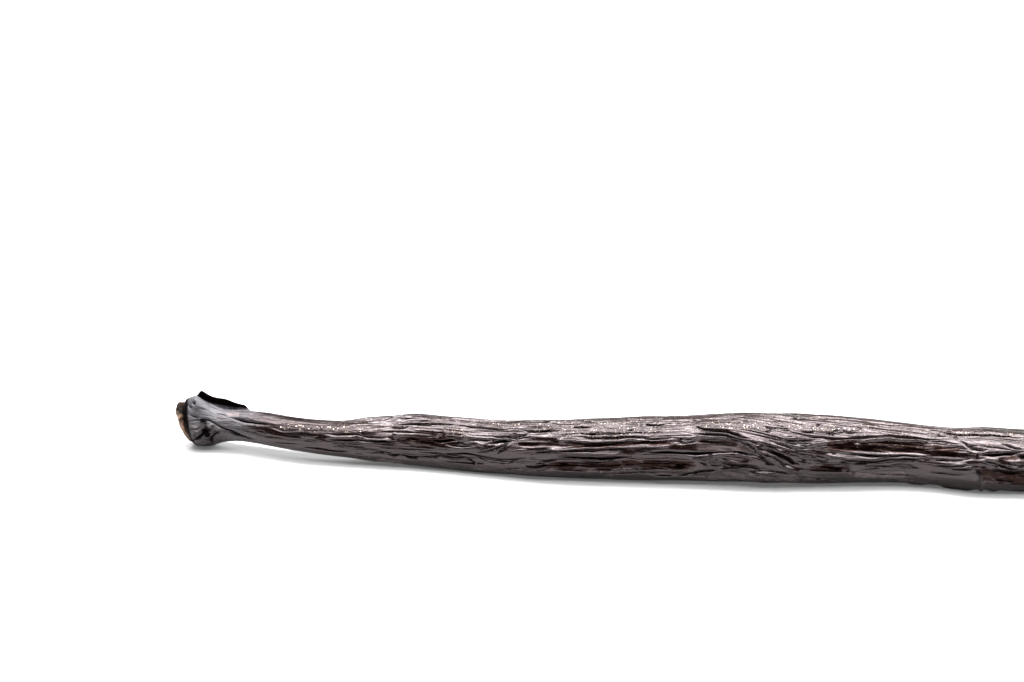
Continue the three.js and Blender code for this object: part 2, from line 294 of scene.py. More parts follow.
HAIRLINES = [
    [186.5, 409, 188.5, 413, 192, 415.2, 197, 415.7, 202, 418.3, 207, 419.3],
    [225, 427, 235, 428.5, 247, 430.5, 258, 432],
    [270, 427.5, 277, 429, 283, 430.8, 290, 431, 301, 429.8],
    [270, 441.5, 280, 443, 290, 443.5, 302, 444.5],
    [215, 413, 222, 414, 228, 417],
    [391, 427.6, 398, 428.4, 404, 428.3, 410, 427.4],
    [385, 417.4, 392, 418, 400, 419, 410, 419, 420, 418.8, 430, 419.2],
    [402, 421.3, 412, 421.3, 422, 421.6, 432, 421.8],
    [340, 421, 346, 421.6],
    [352, 421, 360, 420.4, 370, 419.3, 380, 418.5],
    [300, 430.5, 307, 430.4, 312, 431.5, 318, 430.4, 326, 431],
    [300, 437.5, 306, 437, 313, 437.6, 319, 436],
    [303, 440.5, 312, 440.5, 322, 441],
    [330, 443, 345, 443.4, 360, 444],
    [430, 420, 440, 420.6, 451, 420.7, 462, 422.4, 472, 423, 480, 424.6, 487, 427, 496, 428.6],
    [506, 449, 513, 449.2, 520, 448.6, 528, 449],
    [537, 421.6, 544, 421.3],
    [521, 468.4, 530, 468.2, 540, 468, 550, 467.6],
    [550, 435.6, 565, 435, 576, 434, 590, 435, 605, 434.5, 620, 434, 632, 434.4],
    [549, 463.6, 570, 464.2, 590, 465.4, 610, 465.6, 624, 465],
    [596, 468.4, 620, 467.8, 640, 467, 655, 467.3, 668, 468],
    [640, 463.6, 660, 463.2, 680, 464.2, 695, 465.5],
    [556, 467.6, 572, 468.4, 588, 469.2],
    [988, 472, 1000, 472.6, 1012, 474, 1024, 474.6],
    [842, 463.6, 860, 465, 880, 466, 900, 466.4, 925, 467.4],
    [850, 471.4, 875, 472.6, 900, 473.4, 922, 475],
    [862, 476, 890, 477.8, 918, 479.4, 945, 482],
    [800, 476, 820, 477.6, 838, 478.2],
    [925, 471, 940, 472.4, 955, 474, 970, 475],
    [992, 479, 1004, 480, 1016, 481],
    [540, 473.5, 552, 474.2, 565, 475, 580, 475.6, 600, 476.5, 612, 476.5],
    [619, 418.3, 632, 418.6, 645, 419, 655, 418.6, 668, 418],
    [680, 440.6, 690, 440, 697, 438.6],
    [703, 458.2, 712, 459.3, 722, 459.2],
    [690, 458, 698, 457.8, 706, 456.9, 716, 455.7],
    [712, 464, 722, 465.5, 732, 466.5],
    [676, 477.2, 686, 478.6, 700, 479, 716, 478.8, 731, 479.4, 745, 480],
    [765, 447.4, 775, 451, 785, 455.4, 793, 459.5],
    [771, 455.6, 779, 460.4, 787, 464.6, 795, 467.6],
    [785, 444.2, 796, 443.6, 807, 443.6, 815, 443.3],
    [788, 448, 800, 448.5, 812, 447.6, 823, 448.4],
    [700, 416.4, 715, 416.8, 731, 416.4, 746, 416.4, 761, 417, 776, 417.4, 790, 418.4, 801, 417.5, 812, 417.4,
     822, 418, 832, 418, 841, 418.8, 847, 419.6],
    [692, 420, 700, 419.6],
    [783, 430.4, 791, 431],
    [816, 425.3, 820, 425.7],
    [842, 431, 849, 432.5, 856, 433],
    [859, 468, 870, 468.4, 882, 467.6],
    [885, 464.6, 895, 464.2, 905, 464, 916, 464.6],
    [897, 467, 910, 466.4, 922, 468],
    [874, 478.8, 884, 479.6, 894, 479.4],
    [936, 429, 941, 430.4],
    [958, 451, 966, 451.4, 973, 454],
    [944, 481, 957, 482.8, 970, 484],
    [990, 489.2, 1006, 488.8, 1024, 488.6],
]
# Their depth, width and paths
CREASE_SIZES = [
    (0.4, 0.12, WIDE_CREASES),
    (0.31, 0.085, CREASES),
    (0.43, 0.13, SHOULDER_FOLDS),
    (0.46, 0.15, HEEL_FOLD),
    (0.44, 0.14, SHOULDER_PITS),
    (0.26, 0.08, THIN_CREASES),
    (0.18, 0.07, HAIRLINES),
]
PATH_STEP = 0.8
DEGREE_LENGTH = 0.06  # millimetres of skin
PATH_SWAY = 0.10
PATH_UNEVEN = 0.45
CREASE_EDGE = 1.4  # the power of its slope: 2 is round, and 1 is as sharp as a cut
# Painted shade: black laid into the creases, round the rim and on the fin's steep face, standing in for their shadow
CREASE_SHADE_DEPTH = 0.34  # where a crease is wholly black
FIN_SHADE_HEIGHT = (0.25, 0.45)
FIN_SHADE_FRONT = (-12, -4)  # degrees from the fin's front
RIM_SHADE = (RIM_START + 0.25, RIM_START + 0.55)
# Ribs of skin, and the veins under it
RIBS = [
    [324, 436.4, 335, 436.8, 345, 436.6, 352, 437.6, 357, 439],
    [361, 438.8, 370, 439.2, 380, 440, 390, 441, 398, 441.4],
    [556, 440.8, 570, 441, 580, 441.5, 595, 442, 610, 441.8, 620, 441, 632, 440.4, 640, 441, 644, 439.8],
    [545, 450.2, 555, 450.2, 565, 449.9, 575, 449, 585, 448.2, 605, 447.7, 625, 447.6, 645, 447, 660, 446.6,
     672, 446.4],
    [552, 455.3, 557, 453.7, 567, 453.1, 580, 453, 592, 453.6, 602, 454.6, 614, 454.6, 624, 453.2],
    [581, 460.2, 588, 461.6, 597, 461.6, 607, 460.6, 616, 459.6],
    [521, 466.6, 528, 466, 535, 466.5, 545, 465.6, 551, 465.6],
    [469, 434, 465.5, 437.5, 462.5, 441, 461, 445],
    [697, 433, 706, 433.5, 716, 434, 728, 434.7, 736, 437, 745, 439.6, 755, 441.5, 766, 443.8],
    [690, 436.6, 705, 437, 720, 437.5, 731, 438.6, 741, 440.6, 750, 443, 755, 447.5, 760, 452, 764, 456, 769, 460,
     776, 463],
    [766, 455.5, 772, 458.5, 780, 463, 788, 467, 797, 469.8, 806, 471.5],
    [700, 463.4, 708, 465, 716, 466.2, 723, 466.8],
    [694, 460, 704, 461.3, 714, 463, 726, 464.6],
    [720, 460.3, 727, 460.5, 733, 462.5, 740, 463, 748, 462.4, 754, 464],
    [713, 470.4, 720, 469.3, 727, 468.1, 735, 467.7, 746, 467.6],
    [743, 471.4, 747, 473, 753, 473, 757, 471.6, 766, 471.2, 779, 471.6],
    [774, 448.8, 779, 450.8, 783, 453.4, 787, 454.4],
    [777, 440, 784, 438.7, 795, 438.4, 806, 438.6, 813, 438.6],
    [805, 444, 812, 444.4, 818, 443, 825, 441.7, 833, 441.5, 842, 441.4, 851, 441, 861, 440.4, 871, 440.2,
     881, 439.4, 892, 439.4, 906, 440, 920, 440.6, 932, 441.6],
    [823, 454.4, 832, 455.6, 840, 457, 847, 458.2, 856, 458.6, 866, 459, 876, 459, 885, 458.5],
    [799, 460.8, 803, 462.4, 809, 464.2],
    [977, 463.4, 982, 460.6, 988, 459, 996, 459.6, 1002, 460.6],
    [1002, 465.6, 1008, 467.4, 1016, 468, 1024, 468.5],
    [987, 465.6, 984, 468.5, 983, 473, 982.6, 479, 982.6, 485, 980.5, 488.5],
    [934, 463.4, 950, 464, 964, 464.4, 972, 463],
    [937, 483, 950, 484, 960, 485.6, 970, 486, 978, 486.4],
]
HEEL_LOBES = [
    [195, 424.5, 194.6, 430, 194, 436],
    [208, 425, 212, 428],
]
VEINS = [
    [205.5, 424, 208, 426, 212, 428, 223, 431],
    [383, 419.3, 389, 419.7, 396, 419.9, 404, 420.2],
    [391, 426, 400, 426.8, 410, 427.3],
    [399, 417, 409, 417.2, 418, 417.5],
    [391, 432.8, 398, 433.4],
    [411, 436.8, 418, 437],
    [408, 441.4, 416, 442.4],
    [442, 431, 445, 434, 448, 438],
    [470, 443, 476, 443, 481, 445, 486, 447.6],
    [494, 447, 499, 445.5, 502, 444],
    [500, 439.3, 507, 439, 513, 439],
    [630, 458.6, 645, 459, 657, 458.6, 668, 458],
    [648, 473.2, 660, 473.6, 676, 473],
    [621, 460, 622.5, 463, 623, 467],
    [668, 459, 672, 462, 673, 467],
    [680, 442.4, 689, 441.5, 697, 439.2],
    [763, 463.5, 768, 465, 773, 467],
    [684, 456.6, 695, 456.2, 705, 455.8, 715, 454.6, 726, 454.6],
    [692, 459.4, 699, 459.6, 706, 457.9, 716, 456.6],
    [694, 473.5, 698, 472],
    [786, 453.4, 790, 456.4, 793, 458.6],
    [820, 450, 830, 449.5, 840, 450, 849, 452.4, 860, 453, 875, 454.4, 890, 454.6, 905, 454.6, 920, 455.6,
     930, 457.2],
    [887, 458.4, 896, 458.2, 906, 457.6, 916, 458, 926, 459.4],
    [830, 452.4, 837, 452.6],
    [812, 461, 820, 462.6, 830, 463.8, 841, 463.6, 850, 462.8, 860, 464.4, 872, 464],
    [856, 442, 857, 446, 856, 449],
    [905, 480, 915, 481.4, 930, 482.4],
    [880, 478.3, 886, 478.6],
    [980, 466, 986, 464.6, 993, 466.6, 1001, 468.8, 1011, 470.8, 1021, 472.2],
    [963, 449.5, 972, 452.5, 978, 455.5],
    [940, 466.4, 955, 467, 970, 467.3, 977, 467],
    [961, 472, 968, 474.2],
    [985, 487, 993, 487.4, 1001, 487.6],
]
# Their height, width and paths
RIB_SIZES = [
    (0.24, 0.2, RIBS),
    (0.28, 0.5, HEEL_LOBES),
    (0.14, 0.16, VEINS),
]
# Ledges, where the skin steps in and comes out again below in a flat face: depth, reach above and below, path
LEDGES = [
    (0.22, 0.3, 1.2, [545, 461, 560, 460.5, 575, 461, 590, 462.5, 605, 462.5, 620, 460.5, 640, 460.5, 660, 460,
                      680, 461, 697, 462.5]),
    (0.24, 0.25, 0.9, [808, 464.4, 820, 465, 835, 465.2, 845, 465.8, 856, 468.4]),
    (0.16, 0.3, 1.9, [980, 465.5, 992, 467, 1002, 468, 1024, 470, 1060, 471]),
    (0.25, 0.25, 0.9, [1000, 455.4, 1012, 454.6, 1024, 454.2]),
]
# Smooth, flattened fields of clean brown skin, and fields painted grey as reflections of the table and, on the neck,
# as a highlight: reach, path
BROWN_FIELDS = [
    (0.66, [832, 446, 860, 446.5, 880, 447, 905, 448, 930, 449.5, 955, 451.5]),
    (0.26, [520, 444.4, 545, 444.4, 570, 444.8, 600, 445, 625, 444.4, 645, 443.6, 672, 443]),
    (0.55, [550, 464.5, 590, 465.8, 630, 465, 665, 465, 692, 465.5]),
    (0.36, [702, 442, 720, 442.4, 735, 443.4]),
    (0.4, [812, 467.2, 830, 467.6, 847, 468.4]),
    (1.0, [989, 475, 1008, 477, 1024, 478, 1050, 479]),
    (0.26, [765, 449, 780, 456, 792, 463]),
    (0.45, [400, 440, 420, 440, 440, 441.5, 455, 442]),
    (0.35, [1002, 457.6, 1024, 457.4]),
]
PAINTED_REFLECTION_FIELDS = [
    (0.55, [712, 475, 735, 474.5, 760, 476, 790, 476]),
    (0.45, [858, 473, 880, 473, 903, 473]),
    (0.4, [700, 447, 730, 447.5, 750, 449]),
    (0.3, [229, 414.5, 239, 413.6]),
    (0.45, [380, 458, 400, 460]),
]
FIELD_FLATNESS = 0.75
FIELD_CALM = 0.5  # the share of the folds that a field is free of
# Black patches of painted shade in the shoulder's pockets and under its toe: reach, path
PAINTED_SHADE_PATCHES = [
    (0.3, [202, 420.5, 204, 421.5]),
    (0.6, [206, 431, 209, 437, 209, 443]),
    (0.25, [191, 445, 200, 446.5, 209, 446]),
]
# Gritty skin with a coarser grain and more dark flecks, where bright beads and glints are painted in as highlights:
# reach, path
GRIT_AND_GLINT_FIELDS = [
    (0.55, [283, 427, 300, 428, 330, 429, 365, 429]),
    (0.5, [446, 430, 460, 432]),
    (0.45, [480, 424.5, 555, 425]),
    (0.9, [545, 431, 580, 432, 640, 432, 655, 428]),
    (0.6, [560, 422, 640, 423]),
    (0.8, [700, 424, 730, 424, 760, 425, 800, 427]),
    (0.45, [815, 428, 860, 430]),
    (0.45, [930, 434, 1010, 433]),
    (0.3, [600, 470, 640, 468]),
]

# Folds that wander over the rest: how many, where they start, which way round, length, depth, width
WANDERING = [
    (30, (8, 140), (165, 335), (10, 34), (0.28, 0.50), (0.20, 0.30)),
    (170, (6, 152), (165, 335), (4, 14), (0.10, 0.25), (0.12, 0.20)),
    (18, (100, 140), (20, 165), (10, 30), (0.28, 0.50), (0.20, 0.30)),
    (70, (98, 152), (-25, 165), (4, 14), (0.10, 0.25), (0.12, 0.20)),
    (90, (12, 99), (-25, 165), (2, 8), (0.04, 0.10), (0.10, 0.15)),
]
WANDER_STEP = 1.6
WANDER_DRIFT = 1.1  # degrees for each millimetre
WANDER_SEED = 7

# The skin's noises: length and width in millimetres, octaves and seed
LUMPS = (18, 3.5, 2, 1)
CORDS = (18, 1.7, 1, 2)
WRINKLES = (14, 0.8, 1, 3)
CRINKLE = (11, 0.40, 1, 4)
CREASED_PATCHES = (18, 3.0, 1, 5)
SWAYING = (2.2, 1.1, 2, 6)
UNEVENNESS = (3, 3, 1, 7)
# How high they stand on the neck, how much more on the body, and how much more again out of the camera's view
CORD_HEIGHTS = (0.1, 0.1575, 0.2925)
WRINKLE_HEIGHTS = (0.06, 0.10, 0.34)
CRINKLE_HEIGHTS = (0.04, 0.13, 0.05)
LUMP_HEIGHT = 0.22
NOISE_MIDDLE = 0.2
UNCREASED_SHARE = 0.15
SEEN_SHARE = 0.4  # how much of the lumps and valves the viewer's side has, whose own shapes are laid out
BODY_START = (10, 30)
SEEN_MIDDLE = 72  # degrees
SEEN_EDGE = (85, 100)  # degrees from the middle
SEEN_END = (92, 104)
TOP_MIDDLE = 12  # degrees
TOP_REACH = 42
TOP_START = (12, 24)
NECK_REACH = 46
NECK_END = (14, 26)
# The materials' masks: the first is painted shade, and on the stub also a real black crust
MASKS = ("shade_and_crust", "brown", "grey", "grit", "shade_patch", "top", "neck")


def along_curve(column, along):
    """One column of the stations at places along the pod, as a smooth curve through them."""
    place, value = STATIONS[:, 0], STATIONS[:, column]
    before, after = value[[0, *range(len(value) - 1)]], value[[*range(1, len(value)), -1]]
    start, end = place[[0, *range(len(place) - 1)]], place[[*range(1, len(place)), -1]]
    slope = (after - before) / (end - start)
    here = np.clip(along, place[0], place[-1])
    i = np.clip(np.searchsorted(place, here, side="right") - 1, 0, len(place) - 2)
    span = place[i + 1] - place[i]
    t = (here - place[i]) / span
    return (
        (1 + 2 * t) * (1 - t) ** 2 * value[i]
        + t * (1 - t) ** 2 * span * slope[i]
        + t * t * (3 - 2 * t) * value[i + 1]
        - t * t * (1 - t) * span * slope[i + 1]
    )


def middle_height(along):
    """The pod's line above the table."""
    return along_curve(2, along) + along_curve(3, along) - PRESSED_FLAT


def smoothstep(low, high, value):
    """0 below low and 1 above high, with a smooth rise between."""
    t = np.clip((value - low) / (high - low), 0, 1)
    return t * t * (3 - 2 * t)


def bump_shape(distance, reach):
    """1 in the middle, and less by a bell curve with the distance from it."""
    return np.exp(-((distance / reach) ** 2))


def turn(start, end):
    """The shortest turn from one angle to another, in degrees."""
    return (end - start + 180) % 360 - 180


def place_on_pod(share, along, angle, outward):
    """Points in millimetres of the pod's frame, for arrays of places that stand outward of its plain section."""
    step = 0.5
    line = np.stack(
        np.broadcast_arrays(
            2 * step,
            along_curve(1, along + step) - along_curve(1, along - step),
            middle_height(along + step) - middle_height(along - step),
        ),
        axis=-1,
    )
    line /= np.linalg.norm(line, axis=-1, keepdims=True)
    front = np.cross(line, (0, 0, 1))
    front /= np.linalg.norm(front, axis=-1, keepdims=True)
    up = np.cross(front, line)
    ahead = share * (along_curve(4, along) + outward) * np.sin(angle * RADIANS)
    above = share * (along_curve(3, along) + outward) * np.cos(angle * RADIANS)
    rim = smoothstep(STUB_START, RIM_START, along)
    lean = (STUB_LEAN + (RIM_LEAN - STUB_LEAN) * rim) * above - (STUB_TURN + (RIM_TURN - STUB_TURN) * rim) * ahead
    lean = lean * (1 - smoothstep(RIM_START, SHOULDER_LENGTH, along))
    sideways = along_curve(1, along) - ORIGIN_SIDEWAYS
    middle = np.stack(np.broadcast_arrays(along - ORIGIN_ALONG - lean, sideways, middle_height(along)), axis=-1)
    point = middle + front * ahead[..., None] + up * above[..., None]
    point[..., 2] = pressed_on_table(point[..., 2])
    return point


def pressed_on_table(height, softness=0.03):
    """Heights that come to rest on the table where they would go through it."""
    return 0.5 * (height + np.sqrt(height * height + softness * softness))


# The skin's relief


def spoke_angles():
    """The angle of each spoke of the skin's mesh, for spokes that stand closer in front."""
    angle = np.arange(-90, 270, 0.25)
    first, last = SPOKES_FRONT
    front = smoothstep(first - SPOKES_EDGE, first, angle) * (1 - smoothstep(last, last + SPOKES_EDGE, angle))
    passed = np.cumsum(SPOKES_BACK_SHARE + (1 - SPOKES_BACK_SHARE) * front)
    return np.interp(np.arange(AROUND) * passed[-1] / AROUND, passed, angle) % 360


def fin_height(along, angle):
    """How far the fin with its steep front stands out of the shoulder."""
    rise, peak, fall = FLANGE_ALONG
    ends = smoothstep(rise, peak, along) * (1 - smoothstep(fall - FLANGE_END, fall, along))
    ends = ends * (1 - FLANGE_DROP * np.clip(along - peak, 0, 9)) * (1 + FLANGE_WAVE * np.sin(FLANGE_WAVES * along))
    before = turn(FLANGE_FRONT, angle)
    back = bump_shape(np.minimum(before + FLANGE_STEEP, 0), FLANGE_BACK_REACH)
    steep = back * (1 - smoothstep(-FLANGE_STEEP, FLANGE_STEEP, before))
    return ends, FLANGE_HEIGHT * ends * steep


def shoulder_height(along, angle):
    """How far the fin and the swollen lobes stand out of the flared shoulder, less the hollow before the fin."""
    ends, fin = fin_height(along, angle)
    swollen = 0.0
    for height, (middle, length), (way, reach) in LOBES:
        lobe = bump_shape(along - middle, length) * bump_shape(turn(way, angle), reach)
        swollen = np.maximum(swollen, height * lobe)
    return np.maximum(fin, swollen) - ends * HOLLOW_DEPTH * bump_shape(turn(HOLLOW_ANGLE, angle), HOLLOW_REACH)


def camera_axes():
    """Which ways are ahead, to the right and up for the camera."""
    ahead = np.array(CAMERA_AIM) / np.linalg.norm(CAMERA_AIM)
    right = np.cross(ahead, (0, 0, 1))
    right /= np.linalg.norm(right)
    return ahead, right, np.cross(right, ahead)


class SeenPlaces:
    """The places of the plain skin that face the viewer, and where each shows in the camera's picture."""

    def __init__(self):
        along, angle = np.meshgrid(np.arange(*SEEN_ALONG), np.arange(*SEEN_ROUND), indexing="ij")
        offset = place_on_pod(1.0, along, angle, shoulder_height(along, angle)) - np.array(CAMERA_PLACE)
        ahead, right, up = camera_axes()
        scale = PICTURE[0] * LENS / SENSOR / (offset @ ahead)
        self.places = np.stack([along.ravel(), angle.ravel()], axis=1)
        self.x = (PICTURE[0] / 2 + scale * (offset @ right)).ravel()
        self.y = (PICTURE[1] / 2 - scale * (offset @ up)).ravel()

    def path(self, points):
        """The places that show at these points of the picture."""
        pairs = zip(points[::2], points[1::2])
        nearest = [np.argmin((self.x - x) ** 2 + ROW_WEIGHT * (self.y - y) ** 2) for x, y in pairs]
        return self.places[nearest]


def resampled(path):
    """A path with points added on a smooth curve through its own."""
    points = np.array(path, float)
    ends = np.vstack([2 * points[0] - points[1], points, 2 * points[-1] - points[-2]])
    out = [points[0]]
    for i in range(1, len(ends) - 2):
        before, start, end, after = ends[i - 1 : i + 3]
        steps = 1 + int(max(abs(end[0] - start[0]), abs(end[1] - start[1]) * DEGREE_LENGTH) / PATH_STEP)
        for t in np.arange(1, steps + 1) / steps:
            curve = 2 * start + (end - before) * t + (2 * before - 5 * start + 4 * end - after) * t * t
            out.append(0.5 * (curve + (3 * start - before - 3 * end + after) * t**3))
    return np.array(out)


class Relief:
    """What stands out of the skin or sinks into it, at each place of a grid of rings."""

    def __init__(self, rings):
        self.share = np.array([share for share, _ in rings])[:, None]
        self.along = np.array([along for _, along in rings])[:, None]
        self.angle = spoke_angles()[None, :]
        self.radius = 0.5 * (along_curve(3, self.along) + along_curve(4, self.along))
        shape = len(rings), AROUND
        self.valley, self.rib, self.step = np.zeros(shape), np.zeros(shape), np.zeros(shape)
        self.flat = np.zeros(shape)
        self.brown, self.grey, self.grit, self.shade_patch = [np.zeros(shape) for _ in range(4)]
        self.sway = self.roughness(*SWAYING)
        self.uneven = np.clip(1 + PATH_UNEVEN * self.roughness(*UNEVENNESS), 0.6, 1.15)

    def near(self, path, reach):
        """The rings near a path, with each place's signed distance from it and how far that is from its ends."""
        points = resampled(path)
        rows = np.nonzero(np.abs(self.along[:, 0] - points[:, :1]).min(axis=0) < reach)[0]
        if not len(rows):
            return None
        rows = slice(rows[0], rows[-1] + 1)
        along, radius = self.along[rows], self.radius[rows]
        nearest = np.full((along.shape[0], AROUND), np.inf)
        travelled, side = np.zeros_like(nearest), np.zeros_like(nearest)
        done = 0.0
        for start, end in zip(points[:-1], points[1:]):
            run = end[0] - start[0]
            rise = (end[1] - start[1]) * RADIANS * radius
            x = along - start[0]
            y = turn(start[1], self.angle) * RADIANS * radius + PATH_SWAY * self.sway[rows]
            length = np.hypot(run, rise)
            t = np.clip((x * run + y * rise) / length**2, 0, 1)
            far = np.hypot(x - t * run, y - t * rise)
            closer = far < nearest
            travelled = np.where(closer, done + t * length, travelled)
            side = np.where(closer, run * y - rise * x, side)
            nearest = np.minimum(far, nearest)
            done += float(length.mean())
        return rows, nearest * np.sign(side), np.minimum(travelled, done - travelled), done

    def crease(self, depth, width, path):
        """Sinks a sharp crease that runs out at its ends."""
        found = self.near(path, 5 * width)
        if found:
            rows, offset, from_end, length = found
            taper = smoothstep(-0.1, min(3.0, 0.35 * length), from_end)
            width = width * (0.35 + 0.65 * taper) * self.uneven[rows]
            valley = depth * self.uneven[rows] * np.exp(-((np.abs(offset) / width) ** CREASE_EDGE)) * taper**0.6
            self.valley[rows] = np.maximum(self.valley[rows], valley)

    def ridge(self, height, width, path):
        """Raises a thin rib."""
        found = self.near(path, 4 * width)
        if found:
            rows, offset, from_end, length = found
            taper = smoothstep(0, min(1.2, 0.45 * length), from_end)
            self.rib[rows] = np.maximum(self.rib[rows], height * bump_shape(offset, width) * taper)

    def ledge(self, depth, above, below, path):
        """Steps the skin in along a path, and brings it out again below in a flat face with a crest at its foot."""
        found = self.near(path, 2 * below)
        if found:
            rows, offset, from_end, length = found
            taper = smoothstep(0, min(2.0, 0.45 * length), from_end)
            face = np.where(offset < 0, bump_shape(offset, above), np.clip(1 - offset / below, 0, 1))
            crest = 0.4 * bump_shape(offset - below, 0.4 * below)
            self.step[rows] += depth * (crest - face) * taper

    def field(self, mask, reach, path, flatness):
        """Marks a field of skin and flattens it."""
        found = self.near(path, 2 * reach)
        if found:
            rows, offset, _, _ = found
            mask[rows] = np.maximum(mask[rows], 1 - smoothstep(0.4 * reach, 1.5 * reach, np.abs(offset)))
            sunk = np.maximum(0, (1.4 * reach) ** 2 - offset**2) / (2 * self.radius[rows])
            self.flat[rows] = np.maximum(self.flat[rows], flatness * sunk)

    def turned_with_fibres(self):
        """Each place's angle, less the turn that the wrung stretch gives the fibres."""
        turned = WRUNG_TURN * WRUNG_REACH * math.sqrt(math.pi) / 2
        erf = np.array([math.erf((a - WRUNG_MIDDLE) / WRUNG_REACH) for a in self.along[:, 0]])[:, None]
        return self.angle - turned * erf

    def lay(self):
        """Places on the skin as if the pod were straight and unwrung, for patterns that follow its fibres."""
        q = self.turned_with_fibres() * RADIANS
        along = np.broadcast_to(self.along, q.shape)
        return np.stack([along, self.radius * np.cos(q) * self.share, self.radius * np.sin(q) * self.share], axis=-1)

    def roughness(self, length, width, octaves, seed):
        """Noise of about this length and width in millimetres, drawn out along the fibres."""
        stretched = (self.lay() / (length, width, width) + 17.3 * seed).reshape(-1, 3)
        values = [noise.fractal(Vector(v), 1.0, 2.0, octaves) for v in stretched]
        return np.array(values).reshape(self.valley.shape)

    def top(self):
        """The band along the pod's top that the light falls on."""
        return bump_shape(turn(TOP_MIDDLE, self.angle), TOP_REACH) * smoothstep(*TOP_START, self.along)

    def neck(self):
        """The top of the neck, which shines less."""
        return bump_shape(turn(TOP_MIDDLE, self.angle), NECK_REACH) * (1 - smoothstep(*NECK_END, self.along))

    def shade_and_crust(self):
        """Where black is painted into the skin as shade: in its creases, in the groove round the stub and on the
        fin's steep face.
        """
        fin = smoothstep(*FIN_SHADE_HEIGHT, fin_height(self.along, self.angle)[1])
        fin = fin * smoothstep(*FIN_SHADE_FRONT, turn(FLANGE_FRONT, self.angle) + 2.5 * self.sway)
        rim = 1 - smoothstep(*RIM_SHADE, self.along + 0.5 * PATH_SWAY * self.sway)
        groove = np.maximum(rim, 1 - smoothstep(0.97, 0.99, self.share))
        groove = groove * (self.along < SHOULDER_LENGTH)
        return np.maximum(np.clip(self.valley / CREASE_SHADE_DEPTH, 0, 1) ** 1.5, np.maximum(fin, groove))

    def folded(self, heights, kind, body, unseen):
        """Noise that stands in long folds with sharp valleys."""
        neck, seen, hidden = heights
        return (neck + body * (seen + hidden * unseen)) * (np.abs(self.roughness(*kind)) - NOISE_MIDDLE)

    def outward(self):
        """How far each place stands out of the plain section, in millimetres."""
        body = smoothstep(*BODY_START, self.along)
        from_middle = np.abs(turn(SEEN_MIDDLE, self.angle))
        unseen = np.maximum(smoothstep(*SEEN_END, self.along), smoothstep(*SEEN_EDGE, from_middle))
        valves = VALVE_RISE * np.cos(VALVES * (self.angle - VALVE_TURN * self.along) * RADIANS)
        relief = (SEEN_SHARE + (1 - SEEN_SHARE) * unseen) * (valves + LUMP_HEIGHT * self.roughness(*LUMPS))
        creased = smoothstep(-0.1, 0.15, self.roughness(*CREASED_PATCHES))
        creased = UNCREASED_SHARE + (1 - UNCREASED_SHARE) * creased
        folds = self.folded(CORD_HEIGHTS, CORDS, body, unseen)
        folds = folds + creased * self.folded(WRINKLE_HEIGHTS, WRINKLES, body, unseen)
        folds = folds + creased * self.folded(CRINKLE_HEIGHTS, CRINKLE, body, unseen)
        calm = 1 - FIELD_CALM * np.maximum(self.brown, self.grey)
        sag = SAG * body * bump_shape(turn(SAG_MIDDLE, self.angle), SAG_REACH)
        relief = relief + calm * folds + sag + self.rib + self.step - self.flat - self.valley
        girth = np.minimum(1, self.radius / FULL_DEPTH_RADIUS)
        pressed = PRESSED_SHARE * bump_shape(turn(180, self.angle), PRESSED_REACH)
        return girth * relief * (1 - pressed) + shoulder_height(self.along, self.angle)


def lay_slope(along):
    """How fast the fibres go round the pod, in degrees for each millimetre."""
    return WRUNG_TURN * math.exp(-(((along - WRUNG_MIDDLE) / WRUNG_REACH) ** 2))


def wandering_folds():
    """Folds of several sizes that follow the fibres and sway."""
    draw = np.random.default_rng(WANDER_SEED)
    for count, starts, angles, lengths, depths, widths in WANDERING:
        for _ in range(count):
            along, angle = draw.uniform(*starts), draw.uniform(*angles)
            size = draw.uniform() ** 1.5
            length = lengths[0] + size * (lengths[1] - lengths[0])
            path = [(along, angle)]
            drift = draw.normal(0, 0.5 * WANDER_DRIFT)
            while length > 0:
                drift = 0.75 * drift + draw.normal(0, 0.6 * WANDER_DRIFT)
                angle += (lay_slope(along) + drift) * WANDER_STEP
                along += WANDER_STEP
                length -= WANDER_STEP
                path.append((along, angle))
            yield draw.uniform(*depths), draw.uniform(*widths), path


def skin_rings():
    """The skin's outline from the groove's bottom to the tip's middle: share of the radius, and along."""
    bottom = RIM_START + GROOVE_DEPTH
    rings = [(share, bottom) for share in np.linspace(0, 0.87, 7)]
    rings += [(share, RIM_START + past) for share, past in RIM_PROFILE]
    rings += [(1, along) for along in np.arange(RIM_START + 0.2, SHOULDER_LENGTH, SHOULDER_STEP)]
    rings += [(1, along) for along in np.arange(SHOULDER_LENGTH, FAR_START, BODY_STEP)]
    rings += [(1, along) for along in np.arange(FAR_START, TIP_START, FAR_STEP)]
    for t in np.linspace(0, 1, 9)[1:]:
        rings.append((math.cos(t * 1.15) ** 0.7, TIP_START + TIP_LENGTH * math.sin(t * math.pi / 2)))
    return rings + [(share, TIP_START + past) for share, past in SCAR_PROFILE]


def turned_mesh(name, rings, around):
    """A closed mesh of rings between two poles, with each vertex's ring and spoke."""
    bm = bmesh.new()
    bmesh.ops.create_uvsphere(bm, u_segments=around, v_segments=rings - 1, radius=1)
    mesh = bpy.data.meshes.new(name)
    bm.to_mesh(mesh)
    bm.free()
    at = np.empty(3 * len(mesh.vertices))
    mesh.vertices.foreach_get("co", at)
    x, y, z = at.reshape(-1, 3).T
    ring = np.rint(np.arctan2(np.hypot(x, y), -z) / math.pi * (rings - 1)).astype(int)
    spoke = np.rint(np.arctan2(-x, y) / (2 * math.pi) * around).astype(int) % around
    return mesh, ring, spoke


def finish_piece(mesh, points, material):
    """Places a piece's points, shades it smooth and puts it on the pod's body."""
    mesh.vertices.foreach_set("co", (points * MM).ravel())
    mesh.update()
    mesh.shade_smooth()
    mesh.materials.append(material)
    piece = bpy.data.objects.new(mesh.name, mesh)
    bpy.context.scene.collection.objects.link(piece)
    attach(piece, BODY)
    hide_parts(NODE)


